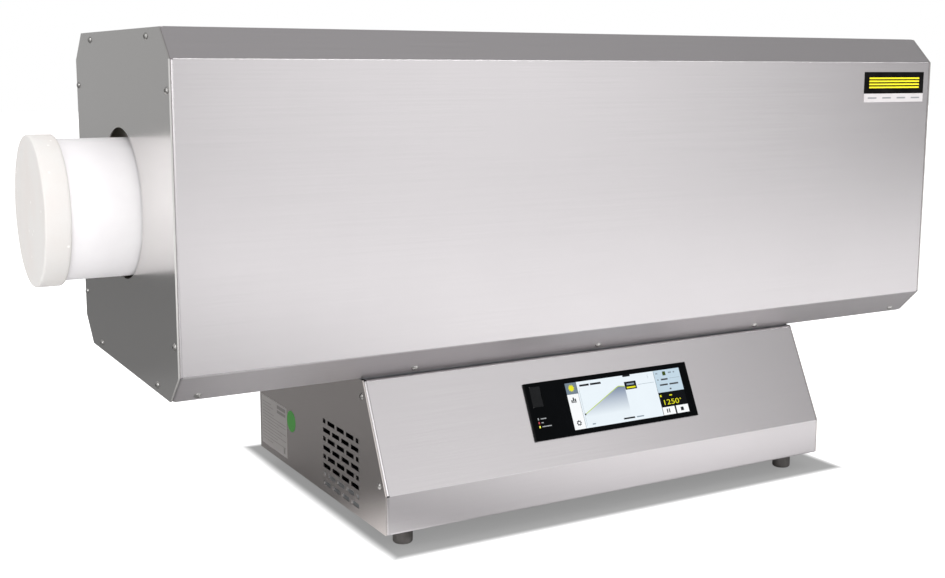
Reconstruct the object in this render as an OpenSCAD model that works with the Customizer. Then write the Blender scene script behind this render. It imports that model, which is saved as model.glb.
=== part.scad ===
// Bench-top tube furnace. An eight-sided sheet-steel casing carries a ceramic working tube from end
// to end, inside a grooved fibre lining with a wound heating wire. The casing stands on a smaller
// base housing that holds the controller and the power electronics.
// X runs along the working tube, Y to the rear, Z up. The floor is z = 0.

/* [Casing] */
// Room between the lining and the casing's front and rear
wiring_room = 38.5; // [36:0.5:70]
// Room above the lining
headroom = 37.5; // [20:0.5:70]
// Room between the lining's ends and the end plates
end_room = 28; // [24:1:80]
// Size of the 45 degree edges of the casing
edge_cut = 35; // [28:1:50]
// Thickness of the casing's sheet
casing_sheet = 1.5; // [1:0.1:2]
// Outer radius of the sheet bends
bend_radius = 3; // [2.5:0.1:4]
// Thickness of the end plates
end_plate_sheet = 2; // [1.5:0.1:3]
// Step from the casing's faces in to the edge of an end plate
end_plate_step = 0.6; // [0.2:0.1:1.5]
// Gap between the working tube and the edge of its hole in an end plate, all round
hole_clearance = 8; // [7:0.5:20]
// Height of the holes' middle above the tube's axis
hole_rise = 4; // [0:0.5:5]
// Reach of the flanges that turn in behind the end plates
casing_flange = 20; // [18:1:26]
// Gap left at each corner between two flanges
corner_relief = 1; // [0.5:0.5:5]
// Reach of the floor tray's lips up inside the lower edges of the hood
tray_lip = 24; // [20:1:30]
// Screws along each lower edge of the hood
hood_screw_count = 5; // [3:1:9]
// Distance of the outermost hood screws from the casing's ends
hood_screw_margin = 30; // [25:1:60]
// Distance of an end plate's screws from its edges
end_screw_margin = 10; // [9:0.5:12]

/* [Working tube] */
// Outer diameter of the working tube
tube_diameter = 170; // [150:1:190]
// Wall of the working tube
tube_wall = 10; // [6:0.5:14]
// Length of tube that stands out of each end plate
tube_overhang = 80; // [60:1:150]
// Step from the tube's surface out to an end plug's rim
plug_lip = 6; // [3:0.5:10]
// Thickness of an end plug's flange
plug_flange_thickness = 30; // [20:1:50]
// Length of an end plug inside the tube
plug_insertion = 60; // [40:1:100]

/* [Lining and heating] */
// Length of the heated chamber
heated_length = 1000; // [800:10:1400]
// Thickness of the lining's end walls
end_wall = 55; // [30:1:60]
// Width and height of the lining
lining_width = 350; // [330:2:420]
// Size of the lining's cut edges
lining_cut = 60; // [40:1:80]
// Gap between the tube and the chamber's wall
chamber_gap = 11; // [6:0.5:16]
// Loops of heating wire, one to a groove
loop_count = 20; // [12:1:22]
// Diameter of the heating wire
wire_diameter = 8; // [5:0.5:9]
// Depth of the grooves that hold the wire
groove_depth = 10; // [9.5:0.5:14]
// Thickness of the bands round the lining
strap_sheet = 1; // [0.5:0.1:1.5]
// Width of the bands round the lining
strap_width = 25; // [15:1:40]
// Bands round the lining
strap_count = 4; // [2:2:6]
// Diameter of the thermocouple's sheath
sheath_diameter = 7; // [5:0.5:9]
// Height of the cradles that carry the lining
cradle_height = 28; // [20:1:50]

/* [Base housing] */
// Width of the base over its side panels
base_width = 698; // [600:2:900]
// Height of the base housing without its feet
base_height = 179; // [165:1:230]
// Thickness of the base's sheet
base_sheet = 1.5; // [1:0.1:2]
// Distance that the base stands out in front of the casing
base_reach = 35; // [20:1:60]
// Distance that the base stands back from the casing's rear
rear_setback = 38; // [36:1:60]
// Height of the upright apron below the sloping front
apron_height = 49; // [40:1:60]
// Run of the sloping front from its fold to its top
slope_run = 63; // [50:1:75]
// Step from the front panel's face back to a side panel's edge
side_step = 2; // [1:0.5:4]
// Reach of the flanges behind the side panels
side_flange = 20; // [18:1:24]
// Thickness of the plate between the base and the casing
saddle_sheet = 3; // [2:0.5:5]
// Rows of vent slots in a side panel
vent_rows = 8; // [4:1:8]
// Slots in a full row
vent_columns = 4; // [2:1:5]
// Length of a vent slot
vent_length = 23; // [15:1:25]
// Height of a vent slot
vent_height = 6; // [4:0.5:7]

/* [Feet] */
// Diameter of a rubber foot
foot_diameter = 25; // [22:1:40]
// Height of a rubber foot
foot_height = 24; // [18:1:40]
// Distance of a foot's middle from the base's side
foot_inset_side = 38; // [30:1:60]
// Distance of a foot's middle from the base's front or rear
foot_inset = 33; // [32:1:36]

/* [Controller] */
// Thickness of the controller's glass
glass_thickness = 3; // [2.6:0.2:4]
// Distance of the glass's middle to the right of the base's middle
glass_shift = 3; // [-40:1:40]
// Width of the touch screen
screen_width = 190; // [160:1:220]
// Height of the touch screen
screen_height = 63; // [50:1:72]
// Distance of the touch screen from the right end of the glass
screen_margin = 13; // [8:1:16]
// Distance of the touch screen from the upper and lower edges of the glass
screen_border = 6.5; // [5.5:0.5:9]
// Width of the glass to the left of the touch screen
flap_field = 61; // [52:1:80]
// Depth of the controller's box behind the panel
controller_depth = 42; // [34:1:55]
// Width of the flap over the data socket
flap_width = 16; // [14:0.5:18]
// Height of the flap over the data socket
flap_height = 26.5; // [22:0.5:30]
// Thickness of the flap
flap_thickness = 1.6; // [1.2:0.1:2]

/* [Power electronics] */
// Width of the plate that carries the electronics
mounting_width = 460; // [420:5:600]
// Depth of the plate that carries the electronics
mounting_depth = 190; // [180:2:260]
// Fins of the heat sink
fin_count = 9; // [5:1:11]
// Height of the heat sink
sink_height = 50; // [30:1:60]
// Terminals in the terminal row
terminal_count = 6; // [3:1:8]
// Diameter of the mains cable's bore in its gland
cable_bore = 11; // [8:0.5:13]

/* [Fasteners] */
// Shank diameter of the panel screws
screw_diameter = 5; // [4:0.1:5]
// Head diameter of the panel screws
screw_head = 9; // [8:0.1:9.5]
// Head height of the panel screws
screw_head_height = 2.6; // [2:0.1:3.5]
// Length of the panel screws under the head
screw_length = 10; // [8:0.5:12]
// Shank diameter of the bolts between casing and base
bolt_diameter = 8; // [6:1:8]

/* [Hidden] */
$fn = 64;
running_gap = 0.3;
thread_gap = 0.05;
hole_gap = 0.3;
bend_steps = 5;

steel = "silver";
dark_steel = "slategray";
ceramic = "ivory";
fibre = "whitesmoke";
black = "#181a1c";

// Sizes of the casing, the tube's surroundings and the glass
chamber_diameter = tube_diameter + 2 * chamber_gap;
end_hole = tube_diameter + 2 * hole_clearance;
plug_flange = tube_diameter + 2 * plug_lip;
casing_length = heated_length + 2 * (end_wall + end_room + end_plate_sheet);
casing_depth = lining_width + 2 * (wiring_room + casing_sheet);
casing_height = cradle_height + lining_width + headroom + 3 * casing_sheet;
glass_width = flap_field + screen_width + screen_margin;
glass_height = screen_height + 2 * screen_border;

// Levels and planes
base_top = foot_height + base_height;
tray_underside = base_top + casing_sheet;
tray_floor = tray_underside + casing_sheet;
under_saddle = tray_underside - saddle_sheet;
casing_y = base_reach / 2;
casing_mid_z = base_top + casing_height / 2;
casing_front = casing_y - casing_depth / 2;
casing_rear = casing_y + casing_depth / 2;
flange_x = casing_length / 2 - end_plate_sheet;
tube_z = tray_floor + cradle_height + lining_width / 2;
tube_radius = tube_diameter / 2;
tube_bore = tube_radius - tube_wall;
tube_length = casing_length + 2 * tube_overhang;
base_front = casing_front - base_reach;
base_back = casing_rear - rear_setback;
fold_z = foot_height + apron_height;
slope_rise = base_top - fold_z;
panel_x = base_width / 2 - base_sheet;

// Outlines, as open paths in Y and Z with the inside on their left
function octagon(depth, height, cut) = [
    [depth / 2 - cut, -height / 2], [depth / 2, -height / 2 + cut],
    [depth / 2, height / 2 - cut], [depth / 2 - cut, height / 2],
    [-depth / 2 + cut, height / 2], [-depth / 2, height / 2 - cut],
    [-depth / 2, -height / 2 + cut], [-depth / 2 + cut, -height / 2]];
// Change of an octagon's cut when all its faces step in by one unit
cut_step = 2 - sqrt(2);
function octagon_in(depth, height, cut, step) =
    octagon(depth - 2 * step, height - 2 * step, cut - cut_step * step);
function moved(points, shift) = [for (p = points) p + shift];
casing_middle = [casing_y, casing_mid_z];
hood_outline = moved(octagon(casing_depth, casing_height, edge_cut), casing_middle);
tray_outline = inset([
    hood_outline[7] + [-tray_lip, tray_lip] / sqrt(2), hood_outline[7],
    hood_outline[0], hood_outline[0] + [tray_lip, tray_lip] / sqrt(2)], casing_sheet);
// Where the base meets the flat underside of the casing
slope_top = [base_front + slope_run * (under_saddle - fold_z) / slope_rise, under_saddle];
saddle_front = max(casing_front + edge_cut, slope_top[0]) + 3;
saddle_rear = min(casing_rear - edge_cut, base_back) - 3;
bolt_margin = 10;
top_flange_reach = 32;
bottom_flange = foot_inset + foot_diameter / 2 + 6;
front_outline = [
    [saddle_front + top_flange_reach, under_saddle], slope_top, [base_front, fold_z],
    [base_front, foot_height], [base_front + bottom_flange, foot_height]];
rear_outline = [
    [base_back - bottom_flange, foot_height], [base_back, foot_height],
    [base_back, under_saddle], [saddle_rear - top_flange_reach, under_saddle]];

// Sheet-metal geometry
function unit(v) = v / norm(v);
function left_of(d) = [-d[1], d[0]];
function turned(v, a) = [v[0] * cos(a) - v[1] * sin(a), v[0] * sin(a) + v[1] * cos(a)];
function heading(path, i) =
    unit(path[min(i + 1, len(path) - 1)] - path[min(i, len(path) - 2)]);
// The path stepped to its left, with mitred corners
function inset(path, step) = [
    for (i = [0 : len(path) - 1])
        let (before = left_of(heading(path, max(i - 1, 0))),
             middle = unit(before + left_of(heading(path, i))))
        path[i] + middle * step / (middle * before)];
// Stations [point, left direction] round the bend at one corner of a path
function bend(path, i, radius) =
    let (before = heading(path, i - 1), after = heading(path, i),
         angle = atan2(before[0] * after[1] - before[1] * after[0], before * after),
         spoke = left_of(before) * sign(angle) * radius,
         centre = path[i] - before * radius * tan(abs(angle) / 2) + spoke)
    [for (k = [0 : bend_steps])
        [centre - turned(spoke, angle * k / bend_steps), turned(left_of(before), angle * k / bend_steps)]];
function stations(path, radius) = concat(
    [[path[0], left_of(heading(path, 0))]],
    [for (i = [1 : len(path) - 2]) each bend(path, i, radius)],
    [[path[len(path) - 1], left_of(heading(path, len(path) - 1))]]);
// A flat face of a path: [angle of its inward normal, its middle, its length]
function face(path, i) =
    let (inward = left_of(heading(path, i)))
    [atan2(inward[1], inward[0]), (path[i] + path[i + 1]) / 2, norm(path[i + 1] - path[i])];

// Profile of a folded sheet whose outer face follows a path, with the metal on its left
module folded(path, sheet) {
    middle = stations(inset(path, sheet / 2), bend_radius - sheet / 2);
    polygon(concat(
        [for (s = middle) s[0] - s[1] * sheet / 2],
        [for (i = [len(middle) - 1 : -1 : 0]) middle[i][0] + middle[i][1] * sheet / 2]));
}

// A Y-Z profile swept along X, centred
module along_x(length) rotate([90, 0, 90]) linear_extrude(length, center = true) children();

// A cylinder along X, centred
module rod_x(radius, length) rotate([0, 90, 0]) cylinder(r = radius, h = length, center = true);

// The frame of a flat face: X along the furnace, Y into the metal, Z along the face
module at_face(face) translate([0, face[1][0], face[1][1]]) rotate([face[0], 0, 0]) children();

// Flange that turns in behind the end of a face, for at_face()
module end_return(x, reach, sheet, face_length)
    linear_extrude(face_length - 2 * corner_relief, center = true)
        folded([[x - bend_radius - 1, 0], [x, 0], [x, reach]], sheet);

module both_ends() for (side = [0, 1]) mirror([side, 0, 0]) children();

// Dome-headed screw with a hexagon socket, head towards +Z on z = 0
module dome_screw(length = screw_length) {
    dome = (pow(screw_head / 2, 2) + pow(screw_head_height, 2)) / (2 * screw_head_height);
    difference() {
        union() {
            intersection() {
                translate([0, 0, screw_head_height - dome]) sphere(dome);
                cylinder(r = screw_head, h = screw_head_height + 1);
            }
            translate([0, 0, -length]) cylinder(d = screw_diameter, h = length + 0.1);
        }
        translate([0, 0, screw_head_height - 1.6]) cylinder(d = screw_diameter * 0.7, h = 2, $fn = 6);
    }
}
module screw_hole(gap, length = 8) cylinder(d = screw_diameter + 2 * gap, h = length, center = true);

// ---- Casing ----

// Places of an end plate's screws, in Y and Z, by their distance from the plate's corners
top_screw_inset = 49;
side_screw_inset = 34;
top_screw_y = casing_depth / 2 - edge_cut - top_screw_inset;
side_screw_z = casing_height / 2 - edge_cut - side_screw_inset;
end_screw_spots = [
    for (y = [-1, 1], z = [-1, 1]) each [
        casing_middle + [y * top_screw_y, z * (casing_height / 2 - end_screw_margin)],
        casing_middle + [y * (casing_depth / 2 - end_screw_margin), z * side_screw_z]]];
module at_end_screws(x)
    for (spot = end_screw_spots) translate([x, spot[0], spot[1]]) rotate([0, 90, 0]) children();

// Hood screws lie this far up the 45 degree faces from their lower edges
hood_screw_rise = 9;
module at_hood_screws() {
    pitch = (casing_length - 2 * hood_screw_margin) / (hood_screw_count - 1);
    for (lower = [[0, 1], [6, -1]]) {
        edge = face(hood_outline, lower[0]);
        rise = lower[1] * (edge[2] / 2 - hood_screw_rise);
        at_face(edge)
            for (i = [0 : hood_screw_count - 1])
                translate([(i - (hood_screw_count - 1) / 2) * pitch, 0, rise])
                    rotate([90, 0, 0]) children();
    }
}

// One sheet folded round the front, top and rear, with flanges at both ends
module hood() color(steel)
    difference() {
        union() {
            along_x(2 * (flange_x - bend_radius)) folded(hood_outline, casing_sheet);
            both_ends()
                for (i = [0 : len(hood_outline) - 2]) {
                    side = face(hood_outline, i);
                    at_face(side) end_return(flange_x, casing_flange, casing_sheet, side[2]);
                }
        }
        both_ends() at_end_screws(flange_x) screw_hole(thread_gap);
        at_hood_screws() screw_hole(hole_gap, 3 * casing_sheet);
    }

// Flat floor of the casing, with a lip up inside each lower edge of the hood
tray_end_inset = 20;
module floor_tray() color(steel)
    difference() {
        union() {
            along_x(2 * (flange_x - bend_radius)) folded(tray_outline, casing_sheet);
            both_ends() {
                flat = face(tray_outline, 1);
                at_face(flat)
                    end_return(flange_x, casing_flange, casing_sheet, flat[2] - 2 * tray_end_inset);
            }
        }
        both_ends() at_end_screws(flange_x) screw_hole(thread_gap);
        at_hood_screws() screw_hole(thread_gap, 6 * casing_sheet);
        at_casing_bolts() cylinder(d = bolt_diameter + 2 * hole_gap, h = 4 * casing_sheet, center = true);
        at_grommet() cylinder(r = grommet_radius, h = 4 * casing_sheet, center = true);
    }

module end_plate() color(steel)
    translate([flange_x, 0, 0]) rotate([90, 0, 90]) linear_extrude(end_plate_sheet)
        difference() {
            translate(casing_middle)
                polygon(octagon_in(casing_depth, casing_height, edge_cut, end_plate_step));
            translate([casing_y, tube_z + hole_rise]) circle(d = end_hole, $fn = 128);
            for (spot = end_screw_spots) translate(spot) circle(d = screw_diameter + 2 * hole_gap);
        }
module left_end_plate() mirror([1, 0, 0]) end_plate();
module right_end_plate() end_plate();

module end_screws() color(dark_steel) at_end_screws(casing_length / 2) dome_screw();
module left_end_screws() mirror([1, 0, 0]) end_screws();
module right_end_screws() end_screws();
module hood_screws() color(dark_steel) at_hood_screws() dome_screw();

// ---- Lining and heating ----

// Children take the tube's axis as their X axis
module about_tube() translate([0, casing_y, tube_z]) children();

lining_length = heated_length + 2 * end_wall;
chamber_radius = chamber_diameter / 2;
groove_radius = chamber_radius + groove_depth;
groove_width = wire_diameter + 2;
loop_pitch = heated_length / loop_count;
loop_radius = groove_radius - running_gap - wire_diameter / 2;
function loop_x(i) = (i - (loop_count - 1) / 2) * loop_pitch;
// The wire steps from one groove to the next over this angle, at the front
step_angle = 30;
step_slack = 12;

// The space inside the lining, as a solid: end bores, chamber, and a groove to each loop
module lining_void() {
    bore = tube_radius + running_gap;
    half = lining_length / 2 + 1;
    rotate([0, 90, 0]) rotate_extrude($fn = 128)
        polygon(concat(
            [[0, -half], [bore, -half], [bore, -heated_length / 2], [chamber_radius, -heated_length / 2]],
            [for (i = [0 : loop_count - 1])
                let (from = loop_x(i) - groove_width / 2, to = loop_x(i) + groove_width / 2)
                each [
                    [chamber_radius, from], [groove_radius, from],
                    [groove_radius, to], [chamber_radius, to]]],
            [[chamber_radius, heated_length / 2], [bore, heated_length / 2], [bore, half], [0, half]]));
    // channel in which the wire steps over
    rotate([0, 90, 0]) rotate([0, 0, 270 - step_angle / 2 - step_slack / 2])
        rotate_extrude(angle = step_angle + step_slack, $fn = 128)
            translate([chamber_radius - 2, loop_x(0)])
                square([groove_depth + 3, loop_x(loop_count - 1) - loop_x(0)]);
    // ways out to the rear for the wire's two ends
    for (end = [[0, 1], [loop_count - 1, -1]])
        translate([loop_x(end[0]), 2, end[1] * loop_radius])
            rotate([-90, 0, 0]) cylinder(d = wire_diameter + 4 * running_gap, h = lining_width / 2);
    translate([thermocouple_x, 0, thermocouple_rise])
        rotate([-90, 0, 0]) cylinder(d = sheath_diameter + 2 * running_gap, h = lining_width / 2 + 1);
}

module lining_half(up) color(fibre) about_tube()
    difference() {
        along_x(lining_length)
            intersection() {
                polygon(octagon(lining_width, lining_width, lining_cut));
                translate([-lining_width / 2, up ? 0 : -lining_width / 2])
                    square([lining_width, lining_width / 2]);
            }
        lining_void();
    }
module upper_lining() lining_half(true);
module lower_lining() lining_half(false);

module lining_straps() color(steel) about_tube()
    for (i = [0 : strap_count - 1])
        translate([(i - (strap_count - 1) / 2) * strap_pitch, 0, 0])
            along_x(strap_width)
                difference() {
                    polygon(octagon_in(lining_width, lining_width, lining_cut, -strap_sheet));
                    polygon(octagon(lining_width, lining_width, lining_cut));
                }
strap_pitch = 0.26 * heated_length;

// Heating wire: in from the rear over the top of the first groove, round every groove, and out to
// the rear from the bottom of the last one
lead_out = 28;
wire_turn_step = 15;
function ease(t) = (1 - cos(180 * t)) / 2;
// Number of the groove that the wire is in after turning to angle a, with the steps between eased
function groove_at(a) =
    let (turns = (a - 180 + step_angle / 2) / 360, whole = floor(turns))
    whole + ease(min(1, (turns - whole) * 360 / step_angle));
// Stations [point, outward direction] along the wire
function on_loop(a) = [
    [loop_x(groove_at(a)), loop_radius * cos(a), loop_radius * sin(a)], [0, cos(a), sin(a)]];
wire_path = concat(
    [[[loop_x(0), lining_width / 2 + lead_out, loop_radius], [0, 0, 1]]],
    [for (a = [90 : wire_turn_step : 270 + 360 * (loop_count - 2)]) on_loop(a)],
    [[[loop_x(loop_count - 1), lining_width / 2 + lead_out, -loop_radius], [0, 0, -1]]]);
wire_sides = 6;
function wire_ring(i) =
    let (last = len(wire_path) - 1,
         ahead = unit(wire_path[min(i + 1, last)][0] - wire_path[max(i - 1, 0)][0]),
         outward = wire_path[i][1], across = cross(ahead, outward))
    [for (k = [0 : wire_sides - 1])
        let (turn = 360 * k / wire_sides)
        wire_path[i][0] + wire_diameter / 2 * (cos(turn) * outward + sin(turn) * across)];

module heating_wire() color("dimgray") about_tube() {
    rings = len(wire_path);
    polyhedron(
        points = [for (i = [0 : rings - 1]) each wire_ring(i)],
        faces = concat(
            [[for (k = [0 : wire_sides - 1]) k]],
            [for (i = [0 : rings - 2], k = [0 : wire_sides - 1])
                let (next = (k + 1) % wire_sides, a = i * wire_sides, b = a + wire_sides)
                [a + next, a + k, b + k, b + next]],
            [[for (k = [wire_sides - 1 : -1 : 0]) (rings - 1) * wire_sides + k]]));
}

// The two places where the heating wire comes out of the lining's rear face
module at_wire_ends() about_tube()
    for (end = [[0, 1], [loop_count - 1, -1]])
        translate([loop_x(end[0]), lining_width / 2, end[1] * loop_radius]) rotate([-90, 0, 0]) children();
bush_length = 10;
clamp_length = lead_out - bush_length;
clamp_screw = 4;
module terminal_bushes() color(ceramic) at_wire_ends()
    difference() {
        cylinder(d = 2.4 * wire_diameter, h = bush_length);
        translate([0, 0, -1]) cylinder(d = wire_diameter + 2 * running_gap, h = bush_length + 2);
    }
module terminal_clamps() color("goldenrod") at_wire_ends()
    translate([0, 0, bush_length])
        difference() {
            intersection() {
                cylinder(d = 2.2 * wire_diameter, h = clamp_length);
                translate([-wire_diameter, -wire_diameter, 0])
                    cube([2 * wire_diameter, 2 * wire_diameter, clamp_length]);
            }
            translate([0, 0, -1]) cylinder(d = wire_diameter + 2 * thread_gap, h = clamp_length + 2);
            translate([0, 0, clamp_length / 2])
                rotate([0, 90, 0]) cylinder(d = clamp_screw, h = 2 * wire_diameter);
        }

// Thermocouple: through the rear of the lining between two grooves, above the split
thermocouple_x = loop_count % 2 == 0 ? 0 : loop_pitch / 2;
thermocouple_rise = 30;
sheath_tip = sqrt(pow(tube_radius, 2) - pow(thermocouple_rise - sheath_diameter / 2, 2)) + 2;
module at_thermocouple() about_tube()
    translate([thermocouple_x, 0, thermocouple_rise]) rotate([-90, 0, 0]) children();
head_diameter = 22;
head_length = 24;
head_socket = 10;
module thermocouple_sheath() color(ceramic) at_thermocouple()
    translate([0, 0, sheath_tip])
        cylinder(d = sheath_diameter, h = lining_width / 2 + head_socket - sheath_tip);
module thermocouple_head() color(black) at_thermocouple()
    translate([0, 0, lining_width / 2])
        difference() {
            cylinder(d = head_diameter, h = head_length);
            translate([0, 0, -1]) cylinder(d = sheath_diameter + 2 * thread_gap, h = head_socket + 1);
            for (x = [-1, 1])
                translate([x * 0.23 * head_diameter, 0, head_length - 8]) cylinder(d = 3, h = 9);
        }

// Folded cradles that carry the lining on the floor tray
cradle_sheet = 2;
cradle_foot = 22;
cradle_width = 60;
cradle_length = 260;
cradle_inset = 69;
cradle_x = base_width / 2 - cradle_inset;
module cradle() {
    half = cradle_width / 2;
    rise = cradle_height - cradle_sheet;
    color(steel) translate([cradle_x, casing_y, tray_floor])
        rotate([90, 0, 0]) linear_extrude(cradle_length, center = true)
            folded([
                [-half - cradle_foot, 0], [-half, 0], [-half, rise],
                [half, rise], [half, 0], [half + cradle_foot, 0]], cradle_sheet);
}
module left_cradle() mirror([1, 0, 0]) cradle();
module right_cradle() cradle();

// ---- Working tube ----

module working_tube() color(ceramic) about_tube()
    difference() {
        rod_x(tube_radius, tube_length);
        rod_x(tube_bore, tube_length + 2);
    }

// Fibre plug: a flange over the tube's end and a shank inside its bore
plug_edge = 3;
module end_plug() {
    shank = tube_bore - running_gap;
    rim = plug_flange / 2;
    color(fibre) about_tube() translate([tube_length / 2 + running_gap, 0, 0]) rotate([0, 90, 0])
        rotate_extrude($fn = 128)
            polygon(concat(
                [[0, -plug_insertion], [shank - plug_edge, -plug_insertion],
                 [shank, -plug_insertion + plug_edge], [shank, 0], [rim - 1, 0], [rim, 1]],
                [for (a = [0 : 15 : 90])
                    [rim - plug_edge, plug_flange_thickness - plug_edge] + plug_edge * [cos(a), sin(a)]],
                [[0, plug_flange_thickness]]));
}
module left_end_plug() mirror([1, 0, 0]) end_plug();
module right_end_plug() end_plug();

// ---- Base housing ----

// Plate between the base and the casing
module saddle_plate() color(steel)
    difference() {
        translate([-base_width / 2, saddle_front, under_saddle])
            cube([base_width, saddle_rear - saddle_front, saddle_sheet]);
        at_casing_bolts() cylinder(d = bolt_diameter + 2 * hole_gap, h = 4 * saddle_sheet, center = true);
        at_grommet() cylinder(r = grommet_radius, h = 4 * saddle_sheet, center = true);
    }

// Bolts through the floor tray, the saddle and the top flanges of the front and rear panels
casing_bolt_inset = 60;
casing_bolt_x = base_width / 2 - casing_bolt_inset;
module at_casing_bolts()
    for (x = [-1, 1], y = [saddle_front + bolt_margin, saddle_rear - bolt_margin])
        translate([x * casing_bolt_x, y, tray_underside]) children();
bolt_head = 0.65 * bolt_diameter;
bolt_grip = saddle_sheet + base_sheet;
module casing_bolts() color(dark_steel) at_casing_bolts() {
    translate([0, 0, casing_sheet]) cylinder(r = 0.9 * bolt_diameter, h = bolt_head, $fn = 6);
    translate([0, 0, -bolt_grip - bolt_head - 3])
        cylinder(d = bolt_diameter, h = casing_sheet + bolt_grip + bolt_head + 3.1);
}
module casing_nuts() color(dark_steel) at_casing_bolts()
    translate([0, 0, -bolt_grip - bolt_head])
        difference() {
            cylinder(r = 0.9 * bolt_diameter, h = bolt_head, $fn = 6);
            translate([0, 0, -1]) cylinder(d = bolt_diameter + 2 * thread_gap, h = bolt_head + 2);
        }

// Rubber grommet where the wiring passes from the base into the casing
grommet_radius = 20;
grommet_wall = 5;
grommet_lip = 4;
grommet_y = saddle_rear - top_flange_reach - grommet_radius - 2 * grommet_lip;
module at_grommet() translate([0, grommet_y, tray_underside]) children();
module wire_grommet() color(black) at_grommet() {
    top = casing_sheet;
    bottom = -saddle_sheet;
    rotate_extrude()
        polygon([
            [grommet_radius - grommet_wall, bottom - 2], [grommet_radius + grommet_lip, bottom - 2],
            [grommet_radius + grommet_lip, bottom], [grommet_radius - thread_gap, bottom],
            [grommet_radius - thread_gap, top], [grommet_radius + grommet_lip, top],
            [grommet_radius + grommet_lip, top + 2],
            [grommet_radius - grommet_wall, top + 2]]);
}

panel_screw_margin = 16;
panel_screw_depth = 13.5;
rear_screw_drop = [16, 84];
// Screws through the side panels into the flanges of the front and rear panels
module at_panel_screws() {
    slope = face(front_outline, 1);
    at_face(slope)
        for (z = [-1, 1])
            translate([base_width / 2, panel_screw_depth, z * (slope[2] / 2 - panel_screw_margin)])
                rotate([0, 90, 0]) children();
    for (drop = rear_screw_drop)
        translate([base_width / 2, base_back - panel_screw_depth, under_saddle - drop])
            rotate([0, 90, 0]) children();
}
module panel_screws() color(dark_steel) at_panel_screws() dome_screw();
module left_panel_screws() mirror([1, 0, 0]) panel_screws();
module right_panel_screws() panel_screws();

// Sloping front, apron and their flanges, folded from one sheet
module front_panel() color(steel)
    difference() {
        union() {
            along_x(2 * (panel_x - bend_radius)) folded(front_outline, base_sheet);
            both_ends()
                for (i = [1, 2]) {
                    side = face(front_outline, i);
                    at_face(side) end_return(panel_x, side_flange, base_sheet, side[2]);
                }
        }
        both_ends() at_panel_screws() screw_hole(thread_gap);
        at_feet() cylinder(d = screw_diameter + 2 * hole_gap, h = 4 * base_sheet, center = true);
        at_casing_bolts() cylinder(d = bolt_diameter + 2 * hole_gap, h = 6 * saddle_sheet, center = true);
        on_glass() cube([housing_width + 1, 8 * base_sheet, housing_height + 1], center = true);
    }

module rear_panel() color(steel)
    difference() {
        union() {
            along_x(2 * (panel_x - bend_radius)) folded(rear_outline, base_sheet);
            both_ends() {
                side = face(rear_outline, 1);
                at_face(side) end_return(panel_x, side_flange, base_sheet, side[2]);
            }
        }
        both_ends() at_panel_screws() screw_hole(thread_gap);
        at_feet() cylinder(d = screw_diameter + 2 * hole_gap, h = 4 * base_sheet, center = true);
        at_casing_bolts() cylinder(d = bolt_diameter + 2 * hole_gap, h = 6 * saddle_sheet, center = true);
        at_gland() cylinder(r = gland_thread + hole_gap, h = 4 * base_sheet, center = true);
    }

// Brick-like field of rounded slots along Y, cut off square at both ends
vent_web = 6;
vent_pitch = vent_length + vent_web + 0.4;
vent_drop = vent_height + vent_web;
vent_front = base_front + 75;
vent_low = foot_height + 13;
module vent_field() {
    field = vent_columns * vent_pitch - vent_web;
    intersection() {
        translate([vent_front + vent_web / 2, vent_low - vent_height])
            square([field, (vent_rows + 1) * vent_drop]);
        for (row = [0 : vent_rows - 1], column = [0 : vent_columns])
            if (row % 2 == 1 || column < vent_columns)
                translate([
                    vent_front + (column + (row % 2 == 1 ? 0 : 0.5)) * vent_pitch,
                    vent_low + row * vent_drop]) vent_slot();
    }
}
module vent_slot() {
    corner = 1.2;
    square([vent_length, vent_height - 2 * corner], center = true);
    square([vent_length - 2 * corner, vent_height], center = true);
    for (y = [-1, 1], z = [-1, 1])
        translate([y * (vent_length / 2 - corner), z * (vent_height / 2 - corner)]) circle(corner);
}

// Flat side panel that follows the front's slope
module side_panel() {
    edge = inset(front_outline, side_step);
    slope_y = edge[2][0] + (under_saddle - edge[2][1]) * slope_run / slope_rise;
    color(steel)
        difference() {
            translate([panel_x, 0, 0]) rotate([90, 0, 90]) linear_extrude(base_sheet)
                difference() {
                    polygon([
                        [slope_y, under_saddle], edge[2], [edge[3][0], foot_height],
                        [base_back - side_step, foot_height], [base_back - side_step, under_saddle]]);
                    vent_field();
                }
            at_panel_screws() screw_hole(hole_gap);
        }
}
module left_side_panel() mirror([1, 0, 0]) side_panel();
module right_side_panel() side_panel();

// Floor of the base, lying on the bottom flanges of the front and rear panels
tray_end_gap = side_flange + 4;
tray_side_lip = 30;
base_floor = foot_height + 2 * base_sheet;
module base_tray() color(steel)
    difference() {
        translate([0, (base_front + base_back) / 2, foot_height + base_sheet])
            rotate([90, 0, 0]) linear_extrude(base_back - base_front - 2 * tray_end_gap, center = true)
                folded([
                    [-panel_x, tray_side_lip], [-panel_x, 0], [panel_x, 0],
                    [panel_x, tray_side_lip]], base_sheet);
        at_feet() cylinder(d = screw_diameter + 2 * hole_gap, h = 6 * base_sheet, center = true);
        at_plate_screws() screw_hole(thread_gap, 6 * base_sheet);
    }

// ---- Feet ----

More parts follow.
